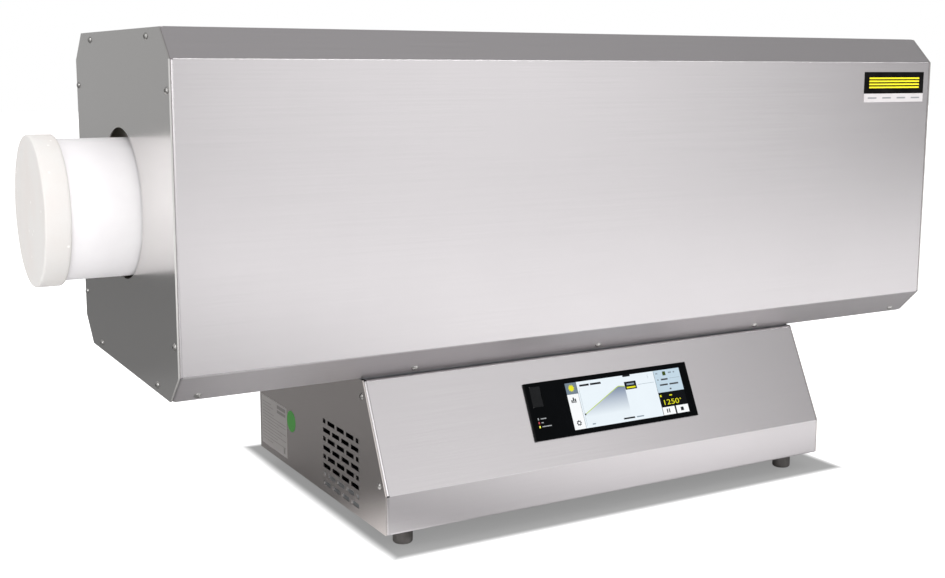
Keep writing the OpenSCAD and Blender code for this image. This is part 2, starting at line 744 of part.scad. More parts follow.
module at_foot(x, y)
    translate([
        x * (base_width / 2 - foot_inset_side),
        y < 0 ? base_front + foot_inset : base_back - foot_inset, foot_height]) children();
module at_feet() for (x = [-1, 1], y = [-1, 1]) at_foot(x, y) children();
foot_recess = 0.5 * foot_height;
module foot() {
    edge = 3;
    color(black) translate([0, 0, -foot_height])
        rotate_extrude()
            polygon(concat(
                [[screw_diameter / 2 + hole_gap, foot_height], [screw_diameter / 2 + hole_gap, foot_recess],
                 [screw_diameter + 1.5, foot_recess], [screw_diameter + 1.5, 0]],
                [for (a = [-90 : 15 : 0])
                    [foot_diameter / 2 - edge + edge * cos(a), edge + edge * sin(a)]],
                [[foot_diameter / 2, foot_height - 1], [foot_diameter / 2 - 1, foot_height]]));
}
module front_left_foot() at_foot(-1, -1) foot();
module front_right_foot() at_foot(1, -1) foot();
module rear_left_foot() at_foot(-1, 1) foot();
module rear_right_foot() at_foot(1, 1) foot();
foot_nut = 4;
foot_screw_length = foot_height - foot_recess + 2 * base_sheet + foot_nut + 2;
module foot_screws() color(dark_steel) at_feet()
    translate([0, 0, foot_recess - foot_height]) mirror([0, 0, 1]) dome_screw(foot_screw_length);
module foot_nuts() color(dark_steel) at_feet()
    translate([0, 0, 2 * base_sheet])
        difference() {
            cylinder(r = 0.9 * screw_diameter, h = foot_nut, $fn = 6);
            translate([0, 0, -1]) cylinder(d = screw_diameter + 2 * thread_gap, h = foot_nut + 2);
        }

// ---- Controller ----

housing_inset = 6;
housing_width = glass_width - 2 * housing_inset - 2;
housing_height = glass_height - 2 * housing_inset;
housing_wall = 2;
glass_rise = 1.5;
// The middle of the glass on the slope's outer face: X right, Y into the base, Z up the slope
module on_glass() at_face(face(front_outline, 1)) translate([glass_shift, 0, glass_rise]) children();
// A block given by its middle in X and Z and its two faces in Y
module block(x, z, width, height, from, to)
    translate([x - width / 2, from, z - height / 2]) cube([width, to - from, height]);

screen_x = glass_width / 2 - screen_margin - screen_width / 2;
screen_seat = -0.8;
flap_x = -glass_width / 2 + 14.3;
flap_z = glass_height / 2 - 18.7;
pin_radius = 0.5;
hinge_x = flap_x - flap_width / 2 + flap_thickness / 2;
hinge_y = -glass_thickness + flap_thickness / 2;

// Black front with a seat for the screen and a window for the flap
module controller_glass() color(black) on_glass()
    difference() {
        block(0, 0, glass_width, glass_height, -glass_thickness, 0);
        block(screen_x, 0, screen_width + 0.4, screen_height + 0.4, -glass_thickness - 1, screen_seat);
        block(
            flap_x, flap_z, flap_width + 2 * running_gap, flap_height + 2 * running_gap,
            -glass_thickness - 1, 1);
        translate([hinge_x, hinge_y, flap_z]) cylinder(r = pin_radius, h = flap_height + 6, center = true);
    }
module touch_screen() color("lightsteelblue") on_glass()
    block(screen_x, 0, screen_width, screen_height, -glass_thickness, screen_seat);
display_depth = 9;
module display_unit() color("darkslategray") on_glass()
    difference() {
        block(screen_x, 0, screen_width - 6, screen_height - 6, 0, display_depth);
        for (x = [-1, 1])
            block(
                screen_x + x * screen_width / 4, 0, screen_width / 3, screen_height / 2,
                display_depth - 1.5, display_depth + 1);
    }

// Open-fronted box behind the glass, with posts for the board
board_y = 16;
board_sheet = 1.6;
post_diameter = 6;
post_inset = 9;
post_spots = [
    for (x = [-1, 1], z = [-1, 1])
        [x * (housing_width / 2 - post_inset), z * (housing_height / 2 - post_inset)]];
module controller_housing() color(black) on_glass() {
    difference() {
        block(0, 0, housing_width, housing_height, 0, controller_depth);
        block(
            0, 0, housing_width - 2 * housing_wall, housing_height - 2 * housing_wall,
            -1, controller_depth - housing_wall);
        for (i = [-6 : 6])
            block(i * 12, 0, 5, housing_height / 2, controller_depth - 3, controller_depth + 1);
    }
    for (spot = post_spots)
        translate([spot[0], board_y + board_sheet, spot[1]])
            rotate([-90, 0, 0])
                cylinder(d = post_diameter, h = controller_depth - housing_wall - board_y - board_sheet);
}
module controller_board() color("darkgreen") on_glass()
    difference() {
        block(
            0, 0, housing_width - 2 * housing_wall - 2, housing_height - 2 * housing_wall - 2,
            board_y, board_y + board_sheet);
        for (spot = post_spots)
            translate([spot[0], 0, spot[1]]) rotate([-90, 0, 0]) cylinder(d = post_diameter / 2, h = 40);
    }

// Data socket on the board, just behind the flap, with its tongue
module data_socket() color("gainsboro") on_glass() {
    front = hinge_y + flap_thickness / 2 + 0.5;
    difference() {
        block(flap_x, flap_z, 7, 14.6, front, board_y);
        block(flap_x, flap_z, 5, 12.6, front - 1, board_y - 4);
    }
    block(flap_x + 1.2, flap_z, 1.6, 11, front + 0.5, board_y - 3.9);
}

// Flap with a rounded hinge edge on the left
module socket_flap() color("#26282b") on_glass()
    difference() {
        union() {
            translate([hinge_x, hinge_y - flap_thickness / 2, flap_z - flap_height / 2])
                cube([flap_width - flap_thickness / 2, flap_thickness, flap_height]);
            translate([hinge_x, hinge_y, flap_z])
                cylinder(d = flap_thickness, h = flap_height, center = true);
        }
        translate([hinge_x, hinge_y, flap_z])
            cylinder(r = pin_radius + thread_gap, h = flap_height + 2, center = true);
        block(
            flap_x + flap_width / 2, flap_z, 1.6, 8,
            hinge_y - flap_thickness, hinge_y - flap_thickness / 2 + 0.6);
    }
module flap_pin() color(steel) on_glass()
    translate([hinge_x, hinge_y, flap_z]) cylinder(r = pin_radius, h = flap_height + 4, center = true);

// Two clamps that hold the controller's box to the back of the panel
clamp_height = 24;
clamp_reach = 12;
clamp_sheet = 2;
clamp_end = controller_depth - 8;
module panel_clamps() color(steel) on_glass()
    for (side = [0, 1]) mirror([side, 0, 0])
        translate([housing_width / 2, 0, 0])
            linear_extrude(clamp_height, center = true)
                polygon([
                    [0, base_sheet], [clamp_reach, base_sheet], [clamp_reach, base_sheet + clamp_sheet],
                    [clamp_sheet, base_sheet + clamp_sheet], [clamp_sheet, clamp_end], [0, clamp_end]]);

// ---- Power electronics ----

plate_shift = 30;
plate_y = (base_front + base_back) / 2 + plate_shift;
plate_sheet = 2;
plate_top = base_floor + plate_sheet;
plate_screw_inset = 12;
plate_screw_x = mounting_width / 2 - plate_screw_inset;
plate_screw_y = mounting_depth / 2 - plate_screw_inset;
module at_plate_screws()
    for (x = [-1, 1], y = [-1, 1])
        translate([x * plate_screw_x, plate_y + y * plate_screw_y, plate_top]) children();
module mounting_plate() color(steel)
    difference() {
        translate([-mounting_width / 2, plate_y - mounting_depth / 2, base_floor])
            cube([mounting_width, mounting_depth, plate_sheet]);
        at_plate_screws() screw_hole(hole_gap, 6 * plate_sheet);
    }
module plate_screws() color(dark_steel) at_plate_screws() dome_screw(plate_sheet + base_sheet);

// Finned heat sink with the solid-state relay on top
sink_width = 110;
sink_depth = 120;
sink_base = 8;
sink_inset = 30;
fin_sheet = 2.5;
sink_x = -mounting_width / 2 + sink_inset + sink_width / 2;
module heat_sink() color("lightgray") translate([sink_x, plate_y, plate_top])
    rotate([90, 0, 0]) linear_extrude(sink_depth, center = true) {
        translate([-sink_width / 2, sink_height - sink_base]) square([sink_width, sink_base]);
        for (i = [0 : fin_count - 1])
            translate([-sink_width / 2 + i * (sink_width - fin_sheet) / (fin_count - 1), 0])
                square([fin_sheet, sink_height - sink_base + 0.1]);
    }
relay_size = [44, 58, 24];
relay_recess = [12, 12, 10];
module solid_state_relay() color(black) translate([sink_x, plate_y, plate_top + sink_height])
    difference() {
        translate([-relay_size[0] / 2, -relay_size[1] / 2, 0]) cube(relay_size);
        for (x = [-1, 1], end = [0, 1]) mirror([0, end, 0])
            translate([
                (x * relay_size[0] / 2 - relay_recess[0]) / 2 + x, relay_size[1] / 2 - relay_recess[1],
                relay_size[2] - relay_recess[2]]) cube(relay_recess + [0, 1, 1]);
    }

// Rail along the plate with the terminals, the contactor and the power supply clipped on
rail_width = 35;
rail_channel = 27;
rail_height = 7.5;
rail_sheet = 1;
rail_margin = 4;
rail_x0 = sink_x + sink_width / 2 + 15;
rail_length = mounting_width / 2 - 25 - rail_x0;
module on_rail(x) translate([rail_x0 + rail_margin + x, plate_y, plate_top + rail_height]) children();
module din_rail() color(steel)
    translate([rail_x0, plate_y, plate_top]) rotate([90, 0, 90]) linear_extrude(rail_length)
        for (side = [0, 1]) mirror([side, 0]) {
            translate([-0.1, 0]) square([rail_channel / 2 + 0.1, rail_sheet]);
            translate([rail_channel / 2 - rail_sheet, 0]) square([rail_sheet, rail_height]);
            translate([rail_channel / 2 - rail_sheet, rail_height - rail_sheet])
                square([(rail_width - rail_channel) / 2 + rail_sheet, rail_sheet]);
        }

// Block of a unit that stands on the rail, centred across it
module unit_block(size) translate([0, -size[1] / 2, 0]) cube(size);
terminal_size = [8, 48, 34];
terminal_gap = 0.2;
unit_gap = 8;
terminals_end = terminal_count * (terminal_size[0] + terminal_gap);
module terminal_row() color("gray")
    for (i = [0 : terminal_count - 1])
        on_rail(i * (terminal_size[0] + terminal_gap))
            difference() {
                unit_block(terminal_size);
                for (end = [0, 1]) mirror([0, end, 0])
                    translate([1.5, 9, terminal_size[2] - 8]) cube([terminal_size[0] - 3, 8, 9]);
            }
contactor_size = [45, 74, 46];
contactor_head = [37, 52, 20];
contactor_x = terminals_end + unit_gap;
module contactor() color(black) {
    on_rail(contactor_x) unit_block(contactor_size);
    on_rail(contactor_x + (contactor_size[0] - contactor_head[0]) / 2)
        translate([0, 0, contactor_size[2] - 0.1]) unit_block(contactor_head);
}
supply_size = [54, 90, 56];
supply_slot = [2.5, 60, 3];
supply_slots = 8;
module power_supply() color("lightgray") on_rail(contactor_x + contactor_size[0] + unit_gap)
    difference() {
        unit_block(supply_size);
        for (i = [0 : supply_slots - 1])
            translate([
                supply_size[0] / 2 + (2 * i - supply_slots + 0.5) * supply_slot[0], 0,
                supply_size[2] - supply_slot[2]]) unit_block(supply_slot + [0, 0, 1]);
    }

// Gland for the mains cable in the rear panel, left of the middle as seen from behind
gland_thread = 10;
gland_inset = 120;
gland_x = base_width / 2 - gland_inset;
gland_z = foot_height + 60;
gland_length = 24;
gland_inside = 14;
gland_collar = 6;
gland_cap = 17;
gland_nut_height = 5;
module at_gland() translate([gland_x, base_back, gland_z]) rotate([-90, 0, 0]) children();
module cable_gland() color(black) at_gland()
    difference() {
        union() {
            translate([0, 0, -gland_inside]) cylinder(r = gland_thread, h = gland_inside + 0.1);
            cylinder(r = 1.35 * gland_thread, h = gland_collar, $fn = 6);
            translate([0, 0, gland_collar - 0.1]) cylinder(r = gland_thread, h = 3);
            translate([0, 0, gland_collar + 2])
                cylinder(r = 1.25 * gland_thread, h = gland_cap - gland_collar - 2, $fn = 12);
            translate([0, 0, gland_cap - 0.1])
                cylinder(
                    r1 = 1.15 * gland_thread, r2 = 0.85 * gland_thread,
                    h = gland_length - gland_cap + 0.1);
        }
        translate([0, 0, -gland_inside - 1]) cylinder(d = cable_bore, h = gland_length + gland_inside + 2);
    }
module gland_nut() color(black) at_gland()
    translate([0, 0, -base_sheet - gland_nut_height])
        difference() {
            cylinder(r = 1.35 * gland_thread, h = gland_nut_height, $fn = 6);
            translate([0, 0, -1]) cylinder(r = gland_thread + thread_gap, h = gland_nut_height + 2);
        }

hood();
floor_tray();
left_end_plate();
right_end_plate();
left_end_screws();
right_end_screws();
hood_screws();
lower_lining();
upper_lining();
lining_straps();
left_cradle();
right_cradle();
heating_wire();
terminal_bushes();
terminal_clamps();
thermocouple_sheath();
thermocouple_head();
working_tube();
left_end_plug();
right_end_plug();
saddle_plate();
casing_bolts();
casing_nuts();
wire_grommet();
front_panel();
rear_panel();
left_side_panel();
right_side_panel();
left_panel_screws();
right_panel_screws();
base_tray();
front_left_foot();
front_right_foot();
rear_left_foot();
rear_right_foot();
foot_screws();
foot_nuts();
controller_glass();
touch_screen();
display_unit();
controller_housing();
controller_board();
data_socket();
socket_flap();
flap_pin();
panel_clamps();
mounting_plate();
plate_screws();
heat_sink();
solid_state_relay();
din_rail();
terminal_row();
contactor();
power_supply();
cable_gland();
gland_nut();
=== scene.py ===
# Bench-top tube furnace: finishes, lights and the small pieces the construction model leaves out.
# All in metres. X runs along the working tube, Y to the rear, Z up, and the floor is z = 0.
import math

import bpy
import numpy as np
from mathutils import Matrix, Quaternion, Vector


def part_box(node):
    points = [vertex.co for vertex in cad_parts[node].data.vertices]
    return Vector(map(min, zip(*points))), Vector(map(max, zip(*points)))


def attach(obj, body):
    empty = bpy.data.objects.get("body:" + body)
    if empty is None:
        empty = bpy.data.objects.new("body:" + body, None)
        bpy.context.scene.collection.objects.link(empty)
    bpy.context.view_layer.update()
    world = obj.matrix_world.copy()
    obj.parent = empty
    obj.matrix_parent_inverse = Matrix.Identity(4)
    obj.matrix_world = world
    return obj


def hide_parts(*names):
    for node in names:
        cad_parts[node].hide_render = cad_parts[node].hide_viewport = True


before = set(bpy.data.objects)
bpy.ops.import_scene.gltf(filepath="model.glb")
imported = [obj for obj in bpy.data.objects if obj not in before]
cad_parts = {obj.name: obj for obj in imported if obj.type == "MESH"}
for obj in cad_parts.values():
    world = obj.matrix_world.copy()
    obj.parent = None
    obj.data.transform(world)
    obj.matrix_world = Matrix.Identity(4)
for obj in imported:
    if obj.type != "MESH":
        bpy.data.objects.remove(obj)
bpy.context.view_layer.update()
print("frame loaded:", len(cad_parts), "nodes")

cameraSetup = {
    "place": (-0.9840, -1.5530, 0.5806),
    "yaw": 29.67,  # degrees from +Y towards +X
    "dip": 8.58,  # degrees below the horizon
    "roll": 0.16,  # degrees
    "lens": 48.68,  # mm, on a sensor 36 mm wide
    "shiftY": -0.0316,
}


def makeCamera(given):
    data = bpy.data.cameras.new("camera")
    data.sensor_width = 36
    data.lens = given["lens"]
    data.shift_y = given["shiftY"]
    data.clip_start, data.clip_end = 0.05, 60
    eye = bpy.data.objects.new("camera", data)
    bpy.context.scene.collection.objects.link(eye)
    yaw, dip = math.radians(given["yaw"]), math.radians(given["dip"])
    ahead = Vector((math.sin(yaw) * math.cos(dip), math.cos(yaw) * math.cos(dip), -math.sin(dip)))
    eye.location = given["place"]
    eye.rotation_mode = "QUATERNION"
    level = ahead.to_track_quat("-Z", "Y")
    eye.rotation_quaternion = level @ Quaternion((0, 0, 1), math.radians(given["roll"]))
    bpy.context.scene.camera = eye


makeCamera(cameraSetup)
bpy.context.scene.view_settings.view_transform = "Standard"
print("camera made")


# Linear colour of a hex string
def tint(code):
    parts = [int(code[i:i + 2], 16) / 255 for i in (1, 3, 5)]
    return [c / 12.92 if c <= 0.04045 else ((c + 0.055) / 1.055) ** 2.4 for c in parts] + [1.0]


# Empty material: itself, its tree and its one shader
def newMaterial(name):
    made = bpy.data.materials.new(name)
    made.use_nodes = True
    return made, made.node_tree, made.node_tree.nodes["Principled BSDF"]


# Gives a socket its source: another socket is linked to it, anything else becomes its own value
def join(tree, source, target):
    if hasattr(source, "is_linked"):
        tree.links.new(source, target)
    else:
        target.default_value = source


# A node with its inputs by name or place, each a value or a socket, and its own settings as keywords
def addNode(tree, kind, inputs=None, **settings):
    node = tree.nodes.new("ShaderNode" + kind)
    for key, value in settings.items():
        setattr(node, key, value)
    for key, value in (inputs or {}).items():
        join(tree, value, node.inputs[key])
    return node


# Result of one sum on numbers, each a value or a socket
def reckon(tree, operation, *values):
    return addNode(tree, "Math", dict(enumerate(values)), operation=operation).outputs[0]


# The same on vectors
def reckonVector(tree, operation, *values):
    node = addNode(tree, "VectorMath", dict(enumerate(values)), operation=operation)
    return node.outputs["Value" if operation in ("DOT_PRODUCT", "DISTANCE", "LENGTH") else "Vector"]


# Outputs X, Y and Z of a vector
def split(tree, vector):
    return addNode(tree, "SeparateXYZ", {0: vector}).outputs


# Mix of two colours by a mask; each may be a colour or a socket
def mixColour(tree, mask, first, second):
    return addNode(tree, "Mix", {0: mask, 6: first, 7: second}, data_type="RGBA").outputs[2]


# Mix of two shader nodes by a mask
def mixShader(tree, mask, first, second):
    return addNode(tree, "MixShader", {0: mask, 1: first.outputs[0], 2: second.outputs[0]})


# Value carried from one range to another and held at its ends
def mapRange(tree, value, low, high, toLow, toHigh, smooth=True):
    inputs = {"Value": value, "From Min": low, "From Max": high, "To Min": toLow, "To Max": toHigh}
    kind = "SMOOTHSTEP" if smooth else "LINEAR"
    return addNode(tree, "MapRange", inputs, interpolation_type=kind).outputs["Result"]


# Noise at a place, from 0 to 1
def noise(tree, place, scale, detail, rough):
    inputs = {"Vector": place, "Scale": scale, "Detail": detail, "Roughness": rough}
    return addNode(tree, "TexNoise", inputs).outputs["Fac"]


noiseSpan = (0.3, 0.7)  # most of a noise's values lie between these
wideSpan = (0.1, 0.9)  # nearly all of them lie between these


# Empty node group with its named sockets: (name, kind, value) going in, (name, kind) coming out
def newGroup(name, inputs, outputs):
    tree = bpy.data.node_groups.new(name, "ShaderNodeTree")
    for label, kind, value in inputs:
        kind = "NodeSocket" + kind
        socket = tree.interface.new_socket(name=label, in_out="INPUT", socket_type=kind)
        socket.default_value = value
    for label, kind in outputs:
        tree.interface.new_socket(name=label, in_out="OUTPUT", socket_type="NodeSocket" + kind)
    return tree, tree.nodes.new("NodeGroupInput"), tree.nodes.new("NodeGroupOutput")


# Drawn-out grain: noise on object coordinates stretched by Spread, plus broad cloudy marks
def makeGrainGroup():
    tree, given, out = newGroup(
        "drawnGrain",
        [("Spread", "Vector", (1, 1, 1)), ("Marks", "Float", 6.0)],
        [("Lines", "Float"), ("Cloud", "Float")])
    place = addNode(tree, "TexCoord").outputs["Object"]
    stretched = reckonVector(tree, "MULTIPLY", place, given.outputs["Spread"])
    join(tree, noise(tree, stretched, 1.0, 4.0, 0.6), out.inputs["Lines"])
    join(tree, noise(tree, place, given.outputs["Marks"], 3.0, 0.5), out.inputs["Cloud"])
    return tree


# Fine pits and lumps of a moulded, cast or fibrous surface; its relief is both together
def makePitGroup():
    tree, given, out = newGroup(
        "finePits",
        [("Size", "Float", 900.0), ("Marks", "Float", 20.0)],
        [("Pits", "Float"), ("Cloud", "Float"), ("Height", "Float")])
    place = addNode(tree, "TexCoord").outputs["Object"]
    pits = noise(tree, place, given.outputs["Size"], 5.0, 0.65)
    cloud = noise(tree, place, given.outputs["Marks"], 4.0, 0.55)
    join(tree, pits, out.inputs["Pits"])
    join(tree, cloud, out.inputs["Cloud"])
    join(tree, reckon(tree, "MULTIPLY_ADD", cloud, 0.6, pits), out.inputs["Height"])
    return tree


groups = {"grain": makeGrainGroup(), "pits": makePitGroup()}


# One of the groups in a material, with its inputs as keywords
def placeGroup(tree, name, **inputs):
    return addNode(tree, "Group", inputs, node_tree=groups[name])


def addBump(tree, shader, height, strength, distance):
    bump = addNode(tree, "Bump", {"Height": height, "Strength": strength, "Distance": distance})
    join(tree, bump.outputs["Normal"], shader.inputs["Normal"])


# Roughness that rises from one value to another with the fine pits
def pitGloss(tree, shader, pits, least, most):
    gloss = mapRange(tree, pits.outputs["Pits"], *noiseSpan, least, most)
    join(tree, gloss, shader.inputs["Roughness"])


# Drawn or brushed metal: the grain tints it slightly and makes its gloss and relief uneven.
# Below a given height it can be rougher and darker, the darkening being painted shade: that height,
# the roughness added and the share of colour lost to painted shade
def makeMetal(name, light, dark, rough, spread, marks=5.0, bump=0.05, depth=0.0002, rougherAndShaded=None):
    made, tree, shader = newMaterial(name)
    grain = placeGroup(tree, "grain", Spread=spread, Marks=marks)
    lines, cloud = grain.outputs["Lines"], grain.outputs["Cloud"]
    tone = mapRange(tree, lines, 0.2, 0.8, 0, 1, smooth=False)
    colour = mixColour(tree, tone, tint(dark), tint(light))
    soft = mapRange(tree, cloud, *wideSpan, 0.0, 0.35, smooth=False)
    colour = mixColour(tree, soft, colour, tint(dark))
    gloss = mapRange(tree, cloud, *wideSpan, *rough, smooth=False)
    if rougherAndShaded:
        height, rougher, darker = rougherAndShaded
        level = split(tree, addNode(tree, "TexCoord").outputs["Object"])["Z"]
        edge = (level, height - 0.002, height + 0.002)
        # Painted shade: below the height the colour is mixed towards black
        colour = mixColour(tree, mapRange(tree, *edge, darker, 0), colour, (0, 0, 0, 1))
        gloss = reckon(tree, "ADD", gloss, mapRange(tree, *edge, rougher, 0))
    join(tree, colour, shader.inputs["Base Color"])
    join(tree, gloss, shader.inputs["Roughness"])
    join(tree, 1.0, shader.inputs["Metallic"])
    addBump(tree, shader, lines, bump, depth)
    return made


# Moulded, fired or fibrous stuff: pits and clouds in colour, gloss and relief
def makeStuff(name, light, dark, rough, size=900.0, marks=20.0, bump=0.1, depth=0.0003, specular=0.5):
    made, tree, shader = newMaterial(name)
    pits = placeGroup(tree, "pits", Size=size, Marks=marks)
    cloud = mapRange(tree, pits.outputs["Cloud"], *noiseSpan, 0, 1)
    colour = mixColour(tree, cloud, tint(dark), tint(light))
    fleck = mapRange(tree, pits.outputs["Pits"], 0.25, 0.5, 0.35, 0)
    join(tree, mixColour(tree, fleck, colour, tint(dark)), shader.inputs["Base Color"])
    pitGloss(tree, shader, pits, *rough)
    join(tree, specular, shader.inputs["Specular IOR Level"])
    addBump(tree, shader, pits.outputs["Height"], bump, depth)
    return made


# Pressed fibre of the plugs: faintly warm and cool stains and small pale flecks
def makePlugFibre():
    made, tree, shader = newMaterial("plugFibre")
    pits = placeGroup(tree, "pits", Size=420.0, Marks=11.0)
    stain = mapRange(tree, pits.outputs["Cloud"], *noiseSpan, 0, 1)
    base = mixColour(tree, stain, tint("#dad5d2"), tint("#dbd9d7"))
    place = addNode(tree, "TexCoord").outputs["Object"]
    flecks = addNode(tree, "TexVoronoi", {"Vector": place, "Scale": 52.0, "Randomness": 1.0})
    pale = mapRange(tree, flecks.outputs["Distance"], 0.04, 0.12, 0.7, 0)
    rough = mapRange(tree, pits.outputs["Pits"], 0.3, 0.6, 0.3, 0)
    colour = mixColour(tree, rough, mixColour(tree, pale, base, tint("#f8f7f5")), tint("#d9d4d1"))
    join(tree, colour, shader.inputs["Base Color"])
    pitGloss(tree, shader, pits, 0.82, 0.95)
    join(tree, 0.2, shader.inputs["Specular IOR Level"])
    addBump(tree, shader, pits.outputs["Height"], 0.25, 0.0004)
    return made


# Flat print or lacquer: one colour, faint wear, own gloss
def makeInk(name, colour, rough=0.35, specular=0.3):
    made, tree, shader = newMaterial(name)
    pits = placeGroup(tree, "pits", Size=1500.0, Marks=35.0)
    worn = mapRange(tree, pits.outputs["Cloud"], 0.3, 0.75, 0.0, 0.5)
    faded = [0.85 * c + 0.012 for c in tint(colour)[:3]] + [1]
    join(tree, mixColour(tree, worn, tint(colour), faded), shader.inputs["Base Color"])
    pitGloss(tree, shader, pits, rough, rough + 0.12)
    join(tree, specular, shader.inputs["Specular IOR Level"])
    return made


glowSetup = {
    "strength": 0.9,
    "dark": 0.92,  # how much darker the screen is than its glow when it is off
    "uneven": 0.03,
}


# Lit part of the screen: it glows from the first colour at its foot to the second at its top
def makeGlow(name, foot, top=None, start=0.05):
    made, tree, shader = newMaterial(name)
    height = split(tree, addNode(tree, "TexCoord").outputs["UV"])["Y"]
    rise = mapRange(tree, height, start, 1.0, 0, 1, smooth=False)
    pits = placeGroup(tree, "pits", Size=1500.0, Marks=35.0)
    uneven = mapRange(tree, pits.outputs["Cloud"], *noiseSpan, 0.0, glowSetup["uneven"])
    colour = mixColour(tree, rise, tint(foot), tint(top or foot))
    colour = mixColour(tree, uneven, colour, (0.4, 0.45, 0.5, 1))
    join(tree, colour, shader.inputs["Emission Color"])
    join(tree, glowSetup["strength"], shader.inputs["Emission Strength"])
    join(tree, mixColour(tree, glowSetup["dark"], colour, (0, 0, 0, 1)), shader.inputs["Base Color"])
    pitGloss(tree, shader, pits, 0.2, 0.3)
    join(tree, 0.05, shader.inputs["Specular IOR Level"])
    return made


materials = {
    "casingSteel": makeMetal("casingSteel", "#e4e0e2", "#dad6d8", (0.2, 0.27), (6, 1800, 1800),
                             bump=0.003, rougherAndShaded=(0.2375, 0.33, 0.24)),  # the hood's lower bends, rougher and with painted shade
    "plateSteel": makeMetal("plateSteel", "#e9e7e5", "#e0dedc", (0.16, 0.22), (1800, 1800, 6),
                            bump=0.003),
    "baseSteel": makeMetal("baseSteel", "#dbd7d9", "#d2ced0", (0.2, 0.27), (6, 1800, 1800),
                           bump=0.003),
    "sideSteel": makeMetal("sideSteel", "#dfd8d5", "#d5cecb", (0.18, 0.24), (1800, 6, 1800),
                           bump=0.003),
    "zincSheet": makeMetal("zincSheet", "#a9acae", "#8c8f92", (0.35, 0.55), (90, 90, 90), marks=40.0),
    "screwSteel": makeMetal("screwSteel", "#d4d3d1", "#b5b3b0", (0.22, 0.34), (900, 900, 900),
                            marks=60.0),
    "strapSteel": makeMetal("strapSteel", "#c4c4c3", "#adadac", (0.28, 0.4), (600, 20, 20)),
    "heatingAlloy": makeMetal("heatingAlloy", "#6b625b", "#4a433e", (0.5, 0.7), (300, 300, 300),
                              marks=30.0),
    "brass": makeMetal("brass", "#d9b36a", "#b98f45", (0.25, 0.4), (300, 300, 300), marks=50.0),
    "aluminium": makeMetal("aluminium", "#cdcfd1", "#b4b6b8", (0.3, 0.45), (500, 6, 500), marks=30.0),
    "tubeCeramic": makeStuff("tubeCeramic", "#f6f4f5", "#efecee", (0.34, 0.46), 400.0, 9.0, 0.03),
    "whiteCeramic": makeStuff("whiteCeramic", "#f2efec", "#e4e0dc", (0.35, 0.5), 500.0, 30.0, 0.05),
    "plugFibre": makePlugFibre(),
    "liningFibre": makeStuff("liningFibre", "#ece9e2", "#d8d3c9", (0.9, 0.98), 350.0, 18.0, 0.4,
                             specular=0.2),
    "footRubber": makeStuff("footRubber", "#524f4d", "#3b3836", (0.55, 0.75), 700.0, 60.0, 0.15),
    "blackRubber": makeStuff("blackRubber", "#242424", "#171717", (0.6, 0.8), 700.0, 60.0, 0.15),
    "blackMoulding": makeStuff("blackMoulding", "#232426", "#17181a", (0.4, 0.6), 1200.0, 40.0, 0.15),
    "greyMoulding": makeStuff("greyMoulding", "#8f9193", "#7c7e80", (0.45, 0.6), 1200.0, 40.0, 0.1),
    "boardGreen": makeStuff("boardGreen", "#155a35", "#0f4428", (0.3, 0.45), 600.0, 60.0, 0.1),
    "frontGlass": makeStuff("frontGlass", "#050608", "#030405", (0.05, 0.11), 300.0, 14.0, 0.0,
                            specular=0.03),
    "flapPlastic": makeStuff("flapPlastic", "#0b0d10", "#07080a", (0.25, 0.35), 1500.0, 40.0, 0.05,
                             specular=0.18),
    "screenOff": makeStuff("screenOff", "#0b0d10", "#080a0c", (0.08, 0.14), 300.0, 14.0, 0.0,
                           specular=0.05),
    "badgeBlack": makeInk("badgeBlack", "#060606", 0.3, specular=0.05),
    "badgeYellow": makeInk("badgeYellow", "#f2e21c"),
    "badgeGrey": makeInk("badgeGrey", "#cac6c7"),
    "printGrey": makeInk("printGrey", "#7f7c7a", 0.45),
    "foilGrey": makeInk("foilGrey", "#a29e9c", 0.42),
    "sealGreen": makeInk("sealGreen", "#4a9a43", 0.4),
    "markGrey": makeInk("markGrey", "#8d9092", 0.4),
    "markRed": makeInk("markRed", "#b23a45", 0.4),
    "markYellow": makeInk("markYellow", "#e4e24a", 0.4),
    "screenInk": makeInk("screenInk", "#15181c", specular=0.05),
    "screenLines": makeInk("screenLines", "#3a3c40", specular=0.05),
    "screenGreen": makeInk("screenGreen", "#37451a", specular=0.05),
    "glowWhite": makeGlow("glowWhite", "#f8fafb"),
    "glowPaper": makeGlow("glowPaper", "#ebf4fa"),
    "glowBlue": makeGlow("glowBlue", "#c3d7e4"),
    "glowTile": makeGlow("glowTile", "#73828f"),
    "glowYellow": makeGlow("glowYellow", "#eae61e"),
    "glowLine": makeGlow("glowLine", "#bfd757"),
    "glowDash": makeGlow("glowDash", "#8b9aa5"),
    "glowFade": makeGlow("glowFade", "#e9f2f8", "#7786a0", start=0.25),
}
print("materials made:", len(materials))

